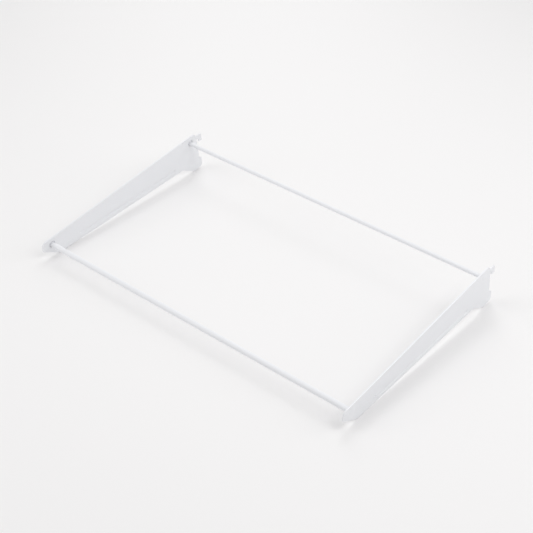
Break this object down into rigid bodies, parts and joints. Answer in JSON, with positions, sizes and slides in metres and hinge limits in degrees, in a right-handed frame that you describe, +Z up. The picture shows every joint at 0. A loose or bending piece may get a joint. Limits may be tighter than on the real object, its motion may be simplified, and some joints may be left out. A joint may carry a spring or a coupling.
{
  "type": "refrigerator shelf frame",
  "caption": "Cantilever shelf frame for a refrigerator: stamped steel side brackets with rear hooks and lugs, joined by a front and a rear rod, powder coated white.",
  "frame": {"origin": "centre of the bounding box's base, on the plane that the frame stands on", "axes": "+X across the frame along the rods, towards the bracket with the hanging hole; +Y from the nose of the brackets back to the hooks; +Z up as the frame stands on a table on the front and rear corners of its brackets"},
  "size_m": [0.5486, 0.3398, 0.0678],
  "materials": {
    "powder_coat": "semi-gloss white powder coat over welded steel"
  },
  "bodies": {
    "root": {"left_bracket": "powder_coat", "right_bracket": "powder_coat", "front_rod": "powder_coat", "rear_rod": "powder_coat"}
  },
  "joints": []
}
